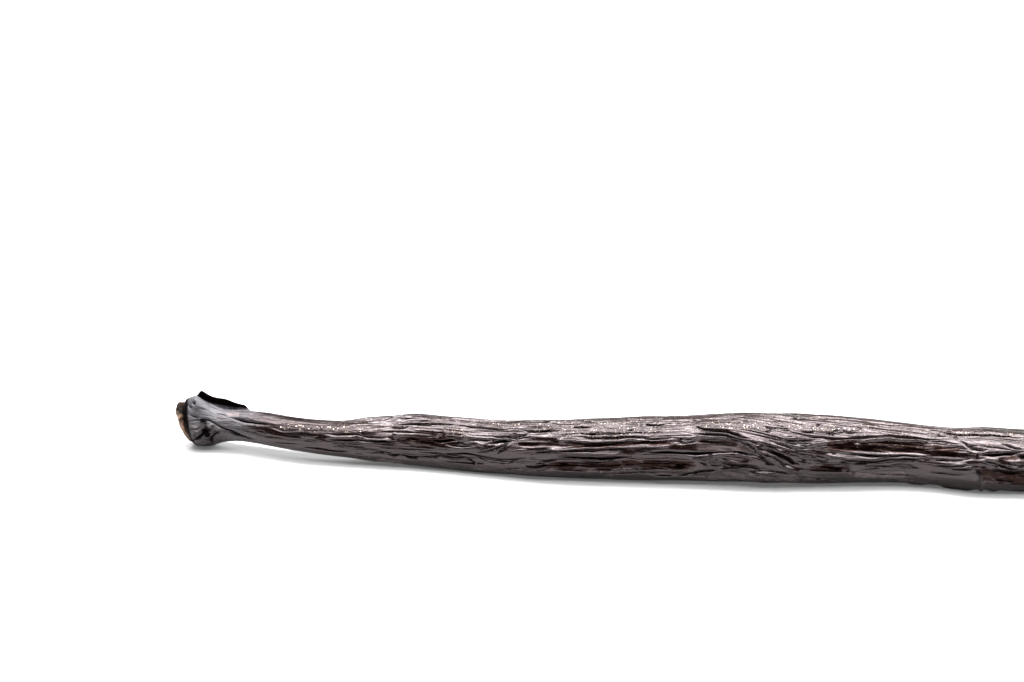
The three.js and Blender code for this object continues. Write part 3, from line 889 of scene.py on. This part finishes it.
def lay_out_relief(rings):
    """The relief with every fold in its place."""
    relief = Relief(rings)
    seen = SeenPlaces()
    for depth, width, paths in CREASE_SIZES:
        for path in paths:
            relief.crease(depth, width, seen.path(path))
    for height, width, paths in RIB_SIZES:
        for path in paths:
            relief.ridge(height, width, seen.path(path))
    for depth, above, below, path in LEDGES:
        relief.ledge(depth, above, below, seen.path(path))
    for mask, fields, flatness in (
        (relief.brown, BROWN_FIELDS, FIELD_FLATNESS),
        (relief.grey, PAINTED_REFLECTION_FIELDS, FIELD_FLATNESS),
        (relief.shade_patch, PAINTED_SHADE_PATCHES, 0.0),
        (relief.grit, GRIT_AND_GLINT_FIELDS, 0.0),
    ):
        for reach, path in fields:
            relief.field(mask, reach, seen.path(path), flatness)
    for fold in wandering_folds():
        relief.crease(*fold)
    return relief


def add_mask(mesh, name, values):
    """One number for each vertex, for the materials to read."""
    mesh.attributes.new(name, "FLOAT", "POINT").data.foreach_set("value", values)


def add_lay(mesh, places):
    """Each vertex's place for the materials' patterns."""
    mesh.attributes.new("lay", "FLOAT_VECTOR", "POINT").data.foreach_set("vector", places.ravel())


def closed_part(grid, first, last):
    """The rows of a grid from first to last, with a row added at each cut end that closes it in one point."""
    part = grid[first : last + 1]
    if first > 0:
        part = np.concatenate([np.broadcast_to(grid[first].mean(axis=0), grid[first].shape)[None], part])
    if last < len(grid) - 1:
        part = np.concatenate([part, np.broadcast_to(grid[last].mean(axis=0), grid[last].shape)[None]])
    return part


def keep_cut_edges_sharp(mesh, ring, rows):
    """Keeps the closing discs inside the pod out of the shading of the skin's outside."""
    ends = np.empty(2 * len(mesh.edges), int)
    mesh.edges.foreach_get("vertices", ends)
    ends = ring[ends.reshape(-1, 2)]
    mesh.edges.foreach_set("use_edge_sharp", (ends[:, 0] == ends[:, 1]) & np.isin(ends[:, 0], rows))


def make_skin(material):
    """The skin with its relief, in parts whose closed ends lie inside the pod."""
    rings = skin_rings()
    relief = lay_out_relief(rings)
    points = place_on_pod(relief.share, relief.along, relief.angle, relief.outward())
    lay = relief.lay()
    values = [relief.shade_and_crust(), relief.brown, relief.grey, relief.grit, relief.shade_patch, relief.top(), relief.neck()]
    whole = relief.share[:, 0] == 1
    cuts = [int(np.argmin(np.where(whole, np.abs(relief.along[:, 0] - cut), np.inf))) for cut in SKIN_CUTS]
    for name, first, last in zip(SKIN_PARTS, [0, *cuts], [*cuts, len(rings) - 1]):
        placed_points = closed_part(points, first, last)
        rows = len(placed_points)
        mesh, ring, spoke = turned_mesh(name, rows, AROUND)
        add_lay(mesh, closed_part(lay, first, last)[ring, spoke])
        for mask, value in zip(MASKS, values):
            add_mask(mesh, mask, closed_part(value, first, last)[ring, spoke])
        finish_piece(mesh, placed_points[ring, spoke], material)
        cut_rows = [1] * (first > 0) + [rows - 2] * (last < len(rings) - 1)
        keep_cut_edges_sharp(mesh, ring, cut_rows)


def make_stub(material):
    """The woody core that stands out of the rim, with a ragged cut face and split sides."""
    end = RIM_START + GROOVE_DEPTH + STUB_ROOT
    rings = [(STUB_SHARE * share, STUB_START + STUB_HOLLOW * (1 - share)) for share in np.linspace(0, 0.9, 14)]
    rings += [(STUB_SHARE * share, STUB_START + past) for share, past in CHAMFER_PROFILE]
    rings += [(STUB_SHARE, STUB_START + past) for past in np.linspace(0.25, 0.8, 8)]
    rings += [(share, STUB_START + past) for share, past in WAIST_PROFILE]
    rings += [(GROOVE_SHARE, along) for along in (RIM_START - 0.1, *np.linspace(RIM_START, end, 5))]
    rings += [(GROOVE_SHARE * share, end) for share in (0.8, 0.4, 0)]
    share = np.array([s for s, _ in rings])[:, None]
    along = np.array([a for _, a in rings])[:, None]
    angle = np.arange(STUB_AROUND)[None, :] * 360 / STUB_AROUND
    flat = np.stack(
        np.broadcast_arrays(share * np.cos(angle * RADIANS), share * np.sin(angle * RADIANS), 0.3 * along), axis=-1
    )
    split = np.array([noise.fractal(Vector(v * 5), 1.0, 2.0, 3) for v in flat.reshape(-1, 3)])
    split = split.reshape(flat.shape[:2])
    outside = smoothstep(0.5 * STUB_SHARE, STUB_SHARE, share) * (1 - smoothstep(RIM_START - 0.4, RIM_START, along))
    on_face = 1 - smoothstep(STUB_START + 0.1, STUB_START + 0.6, along)
    chipped = 0.2 * bump_shape(turn(5, angle), 35) * smoothstep(0.3, STUB_SHARE, share)
    corner = 0.45 * bump_shape(turn(20, angle), 40)
    on_ends, on_sides = STUB_SPLITS
    stands = (on_sides * split + corner) * outside
    points = place_on_pod(share, along + (on_ends * split + chipped) * on_face, angle, stands)
    mesh, ring, spoke = turned_mesh("stub_wood", len(rings), STUB_AROUND)
    add_lay(mesh, (flat * STUB_LAY_SIZE)[ring, spoke])
    # The stub's mask paints it black as shade where it sinks into the groove, and as a real black crust along its top
    inside = smoothstep(STUB_START + 0.6, STUB_START + 1.0, along)
    crusted = smoothstep(0.35, 0.65, bump_shape(turn(0, angle), 52) + 0.5 * split)
    add_mask(mesh, "shade_and_crust", np.maximum(inside, 0.85 * crusted)[ring, spoke])
    finish_piece(mesh, points[ring, spoke], material)


# Materials

BLACK_SKIN = (0.0042, 0.0021, 0.0018, 1)
BROWNER_SKIN = (0.0060, 0.0026, 0.0021, 1)
FIELD_BROWN = (0.0092, 0.0041, 0.0031, 1)
BARE_GREY = (0.0620, 0.0620, 0.0690, 1)
# Painted shade: the darker grey of the shoulder's underside
SHADED_HEEL_GREY = (0.0290, 0.0270, 0.0290, 1)
# Painted reflection grey
PAINTED_REFLECTION_GREY = (0.0700, 0.0550, 0.0530, 1)
DUST = (0.13, 0.075, 0.04, 1)
# Painted highlight colours of the beads and the glints
BEAD_HIGHLIGHT = (0.075, 0.060, 0.050, 1)
GLINT = (0.220, 0.180, 0.150, 1)
# Painted shade, also used for the dark flecks
SHADE_AND_FLECK_BLACK = (0.0012, 0.0008, 0.0007, 1)
PALE_WOOD = (0.20, 0.112, 0.066, 1)
BROWN_WOOD = (0.10, 0.052, 0.029, 1)
DARK_WOOD = (0.02, 0.014, 0.012, 1)
WOOD_DUST = (0.18, 0.14, 0.105, 1)
# Painted shade in the groove, and the real crust on the stub's top
WOOD_SHADE_AND_CRUST = (0.002, 0.0015, 0.0012, 1)
SKIN_IOR = 1.5
SKIN_SHINE_TINT = (1.0, 0.845, 0.875, 1)
SKIN_GRAIN_DEPTH = 0.00014  # metres
WOOD_GRAIN_DEPTH = 0.0005
WOOD_ROUGHNESS = 0.75
WHITE = (1, 1, 1, 1)


class Value:
    """What a node puts out. It adds, multiplies and compares as a number does, and each sum makes a node."""

    def __init__(self, socket):
        self.socket = socket
        self.tree = socket.id_data

    def combined(self, operation, *values):
        return output(self.tree, "ShaderNodeMath", 0, dict(enumerate(values)), operation=operation)

    def __add__(self, other):
        return self.combined("ADD", self, other)

    def __mul__(self, other):
        return self.combined("MULTIPLY", self, other)

    def __rsub__(self, other):
        return self.combined("SUBTRACT", other, self)

    def __lt__(self, other):
        return self.combined("LESS_THAN", self, other)

    def __gt__(self, other):
        return self.combined("GREATER_THAN", self, other)

    def or_more(self, other):
        return self.combined("MAXIMUM", self, other)

    def ramp(self, low, high):
        """0 at low and 1 at high, with a smooth rise between."""
        inputs = {"Value": self, "From Min": low, "From Max": high}
        return output(self.tree, "ShaderNodeMapRange", "Result", inputs, interpolation_type="SMOOTHSTEP")

    def parts(self):
        return [Value(part) for part in node(self.tree, "ShaderNodeSeparateXYZ", {0: self}).outputs]


def set_input(made, key, value):
    """Links a node's input to a value, or sets it to a number or a colour."""
    if isinstance(value, Value):
        made.id_data.links.new(value.socket, made.inputs[key])
    else:
        made.inputs[key].default_value = value


def node(tree, kind, inputs=None, **settings):
    """A new node with its settings made and its inputs linked or set."""
    made = tree.nodes.new(kind)
    for name, value in settings.items():
        setattr(made, name, value)
    for key, value in (inputs or {}).items():
        set_input(made, key, value)
    return made


def output(tree, kind, name, inputs=None, **settings):
    return Value(node(tree, kind, inputs, **settings).outputs[name])


def mixed(share, first, second):
    """The first colour, with this share of the second."""
    return output(share.tree, "ShaderNodeMix", 2, {0: share, 6: first, 7: second}, data_type="RGBA")


def attribute(tree, name, part="Fac"):
    return output(tree, "ShaderNodeAttribute", part, attribute_name=name)


def drawn_noise(tree, lay, length_share, **inputs):
    """Noise that is drawn out along the fibres, the longer the smaller this share is."""
    drawn = output(tree, "ShaderNodeVectorMath", 0, {0: lay, 1: (length_share, 1.0, 1.0)}, operation="MULTIPLY")
    return output(tree, "ShaderNodeTexNoise", "Fac", {"Vector": drawn, **inputs})


def new_group(name, outputs, **inputs):
    """A group that is given a place in the lay and some numbers: its tree, what it is given, and its output node."""
    group = bpy.data.node_groups.new(name, "ShaderNodeTree")
    group.interface.new_socket("Lay", in_out="INPUT", socket_type="NodeSocketVector")
    for label, default in inputs.items():
        socket = group.interface.new_socket(label, in_out="INPUT", socket_type="NodeSocketFloat")
        socket.default_value = default
    for label in outputs:
        group.interface.new_socket(label, in_out="OUTPUT", socket_type="NodeSocketFloat")
    given = node(group, "NodeGroupInput").outputs
    return group, {socket.name: Value(socket) for socket in given}, node(group, "NodeGroupOutput")


def placed(group, lay, **inputs):
    """A group in a material's tree: its outputs by name."""
    made = node(lay.tree, "ShaderNodeGroup", node_tree=group)
    for key, value in {"Lay": lay, **inputs}.items():
        set_input(made, key, value)
    return {socket.name: Value(socket) for socket in made.outputs}


def grain_group():
    """Fine pebbled grain with hair lines drawn out along the fibres."""
    group, given, out = new_group("fibre_grain", ["Height", "Hairs"], Pebble=5.0, Hair=3.0)
    lay = given["Lay"]
    hairs = drawn_noise(group, lay, 0.16, Scale=given["Hair"], Detail=4.0, Roughness=0.62, Distortion=0.35)
    pebble = drawn_noise(group, lay, 1.0, Scale=given["Pebble"], Detail=3.0, Roughness=0.6)
    set_input(out, "Height", hairs * 0.65 + pebble * 0.35)
    set_input(out, "Hairs", hairs)
    return group


def patches_group():
    """Soft patches, 0 to 1."""
    group, given, out = new_group("soft_patches", ["Mask"], Size=0.3, Low=0.4, High=0.6)
    cloud = drawn_noise(group, given["Lay"], 0.35, Scale=given["Size"], Detail=5.0, Roughness=0.6, Distortion=0.6)
    set_input(out, "Mask", cloud.ramp(given["Low"], given["High"]))
    return group


def specks_group():
    """Small round specks, scattered: the larger the bare share, the fewer."""
    group, given, out = new_group("round_specks", ["Mask"], Spacing=4.0, Radius=0.2, Bare=0.7)
    cells = node(group, "ShaderNodeTexVoronoi", {"Vector": given["Lay"], "Scale": given["Spacing"]})
    draw = output(group, "ShaderNodeSeparateColor", 0, {0: Value(cells.outputs["Color"])})
    near = Value(cells.outputs["Distance"]) < given["Radius"]
    set_input(out, "Mask", near * (draw > given["Bare"]))
    return group


def flecks_group():
    """Crisp noise at the size of long flecks."""
    group, given, out = new_group("crisp_flecks", ["Fac"], Size=2.8)
    crisp = drawn_noise(group, given["Lay"], 0.13, Scale=given["Size"], Detail=2.0, Roughness=0.65, Distortion=0.3)
    set_input(out, "Fac", crisp)
    return group


def new_material(name):
    material = bpy.data.materials.new(name)
    material.use_nodes = True
    tree = material.node_tree
    return material, tree, tree.nodes["Principled BSDF"]


def skin_material(grain, patches, specks, flecks):
    """Oily, nearly black skin that shows red-brown where it is clean, and dull grey on the shoulder, with shade,
    reflections and highlights painted into its colour.
    """
    material, tree, shader = new_material("oily_pod_skin")
    lay = attribute(tree, "lay", "Vector")
    shade_and_crust, brown, grey, grit, shade_patch, top, neck = [attribute(tree, name) for name in MASKS]
    browner = placed(patches, lay, Size=0.45, Low=0.42, High=0.62)["Mask"]
    matt = placed(patches, lay, Size=0.9, Low=0.35, High=0.7)["Mask"]
    gritty = placed(patches, lay, Size=0.55, Low=0.36, High=0.62)["Mask"]
    streaks = placed(patches, lay, Size=1.7, Low=0.36, High=0.62)["Mask"]
    dots = placed(specks, lay, Spacing=3.2, Radius=0.16)["Mask"]
    beads = placed(specks, lay, Spacing=2.9, Radius=0.3, Bare=0.55)["Mask"]
    sparks = placed(specks, lay, Spacing=4.2, Radius=0.36, Bare=0.66)["Mask"]
    crisp = placed(flecks, lay)["Fac"]
    along, upwards, _ = lay.parts()

    # Where each kind of skin is
    oily = (matt * 6.0 + along).ramp(4.0, 15.0)
    dry = 1 - oily
    # Painted shade: the shoulder's dull grey darkens towards its underside
    heel_shade = upwards.ramp(1.5, -0.6) * along.ramp(8.0, 5.0)
    field = (brown * (streaks * 0.75 + 0.45)).ramp(0.25, 0.80)
    calm = 1 - brown.or_more(grey)
    grit = (matt * 0.7 + grit).ramp(0.75, 1.4)
    often = top * 0.01 + grit * 0.03 + gritty * 0.03 + dry * -0.1
    # The shade patches add mottled painted shade in the shoulder's pockets and under its toe
    black = shade_and_crust.or_more((crisp + often).ramp(0.66, 0.75)).or_more(shade_patch * crisp.ramp(0.36, 0.54))
    # Painted highlights: bright glints in the lit top band and the gritty fields, and bright beads in the gritty
    # fields
    glints = (top * (streaks * 0.6)).or_more(grit) * oily * sparks

    colour = mixed(browner, BLACK_SKIN, BROWNER_SKIN)
    colour = mixed(field, colour, FIELD_BROWN)
    colour = mixed(dry, colour, mixed(heel_shade, BARE_GREY, SHADED_HEEL_GREY))
    # Painted reflection: grey laid into the grey fields where the skin mirrors the table, and a painted highlight on
    # the neck
    colour = mixed(grey * (streaks * 0.6 + 0.4), colour, PAINTED_REFLECTION_GREY)
    colour = mixed(dots * 0.5, colour, DUST)
    colour = mixed(beads * grit, colour, BEAD_HIGHLIGHT)
    colour = mixed(glints, colour, GLINT)
    # Painted shade: black in the creases, the groove round the stub, the fin's steep face and the shoulder's pockets,
    # with dark flecks
    set_input(shader, "Base Color", mixed(black, colour, SHADE_AND_FLECK_BLACK))

    shine_less = (field * 0.9).or_more(dry * 0.45).or_more(glints).or_more(neck * 0.55)
    # The painted shade is made metallic too, so its near-black colour takes the skin's reflections away there
    set_input(shader, "Metallic", black.ramp(0.30, 0.85).or_more(shine_less))
    set_input(shader, "Roughness", matt * 0.12 + 0.08 + dry * 0.40)
    set_input(shader, "IOR", SKIN_IOR)
    set_input(shader, "Specular Tint", SKIN_SHINE_TINT)
    rough = gritty * calm * 0.5 + 0.12 + dry * 1.1 + grit * 0.8
    height = placed(grain, lay, Pebble=3.6, Hair=3.0)["Height"] * rough
    bump = {"Height": height, "Strength": 1.0, "Distance": SKIN_GRAIN_DEPTH}
    set_input(shader, "Normal", output(tree, "ShaderNodeBump", 0, bump))
    return material


def stub_material(grain, patches, specks):
    """Dry pale wood, weathered grey in places, with black painted as shade in the groove and a real black crust on
    top.
    """
    material, tree, shader = new_material("dry_stub_wood")
    lay = attribute(tree, "lay", "Vector")
    shade_and_crust = attribute(tree, "shade_and_crust")
    fine = placed(grain, lay, Pebble=6.0, Hair=3.0)
    dark = placed(patches, lay, Size=1.2, Low=0.45, High=0.65)["Mask"]
    dots = placed(specks, lay, Spacing=3.0, Radius=0.2)["Mask"]
    colour = mixed(fine["Hairs"].ramp(0.35, 0.65), PALE_WOOD, BROWN_WOOD)
    colour = mixed(dark, colour, DARK_WOOD)
    colour = mixed(dots * 0.6, colour, WOOD_DUST)
    # Black painted as shade in the groove and as the real crust on top, made metallic so that it reflects nothing
    set_input(shader, "Base Color", mixed(shade_and_crust, colour, WOOD_SHADE_AND_CRUST))
    set_input(shader, "Metallic", shade_and_crust)
    set_input(shader, "Roughness", WOOD_ROUGHNESS)
    bump = {"Height": fine["Height"], "Strength": 0.8, "Distance": WOOD_GRAIN_DEPTH}
    set_input(shader, "Normal", output(tree, "ShaderNodeBump", 0, bump))
    return material


# The stage

FLOOR_SIZE = 3  # metres
FLOOR_ALBEDO = 0.33
FLOOR_GLOW = 0.12
FLOOR_ROUGHNESS = 0.6
# Softboxes: name, place, width, depth, radiance, and whether the skin mirrors it
SOFTBOXES = [
    ("key", (-0.12, 0.38, 0.93), 0.22, 0.22, 230, False),
    ("backlight", (0, 1.2, 0.45), 1.6, 0.7, 19, False),
    ("softbox", (0, 0.04, 1.0), 1.7, 1.44, 6.4, True),
    ("softbox_middle", (0, 0.17, 0.95), 1.6, 0.24, 22, True),
]
WALL_RADIANCE = 0.45
ROOM_RADIANCE = 0.05
BACKGROUND_RADIANCE = 1.0
CLIP_START = 0.01


def make_floor():
    bm = bmesh.new()
    bmesh.ops.create_grid(bm, x_segments=1, y_segments=1, size=FLOOR_SIZE)
    mesh = bpy.data.meshes.new("floor")
    bm.to_mesh(mesh)
    bm.free()
    floor = bpy.data.objects.new("floor", mesh)
    bpy.context.scene.collection.objects.link(floor)
    material, _, shader = new_material("pale_floor")
    set_input(shader, "Base Color", (*[FLOOR_ALBEDO] * 3, 1))
    set_input(shader, "Emission Color", WHITE)
    set_input(shader, "Emission Strength", FLOOR_GLOW)
    set_input(shader, "Roughness", FLOOR_ROUGHNESS)
    mesh.materials.append(material)


def make_softbox(name, place, width, depth, radiance, mirrored):
    data = bpy.data.lights.new(name, "AREA")
    data.shape = "RECTANGLE"
    data.size = width
    data.size_y = depth
    data.energy = radiance * math.pi * width * depth
    light = bpy.data.objects.new(name, data)
    light.location = place
    light.rotation_euler = (-Vector(place)).to_track_quat("-Z", "Y").to_euler()
    light.visible_glossy = mirrored
    bpy.context.scene.collection.objects.link(light)


def make_room():
    """A small key light and broad softboxes overhead, a white wall behind, and a dark room in front."""
    for softbox in SOFTBOXES:
        make_softbox(*softbox)
    world = bpy.data.worlds.new("room")
    world.use_nodes = True
    tree = world.node_tree
    tree.nodes.clear()
    seen = output(tree, "ShaderNodeLightPath", "Is Camera Ray")
    _, backwards, _ = output(tree, "ShaderNodeTexCoord", "Generated").parts()
    wall = backwards.ramp(-0.7, -0.2) * WALL_RADIANCE + ROOM_RADIANCE
    room = output(tree, "ShaderNodeBackground", 0, {"Color": WHITE, "Strength": wall})
    white = output(tree, "ShaderNodeBackground", 0, {"Color": WHITE, "Strength": BACKGROUND_RADIANCE})
    both = output(tree, "ShaderNodeMixShader", 0, {0: seen, 1: room, 2: white})
    node(tree, "ShaderNodeOutputWorld", {"Surface": both})
    bpy.context.scene.world = world


def make_camera():
    data = bpy.data.cameras.new("camera")
    data.lens = LENS
    data.sensor_width = SENSOR
    data.clip_start = CLIP_START
    camera = bpy.data.objects.new("camera", data)
    camera.location = [place * MM for place in CAMERA_PLACE]
    camera.rotation_euler = Vector(CAMERA_AIM).to_track_quat("-Z", "Y").to_euler()
    bpy.context.scene.collection.objects.link(camera)
    bpy.context.scene.camera = camera


make_camera()
make_room()
make_floor()
shared = grain_group(), patches_group(), specks_group()
make_skin(skin_material(*shared, flecks_group()))
make_stub(stub_material(*shared))

scene = bpy.context.scene
scene.view_settings.view_transform = "Standard"
scene.view_settings.look = "None"
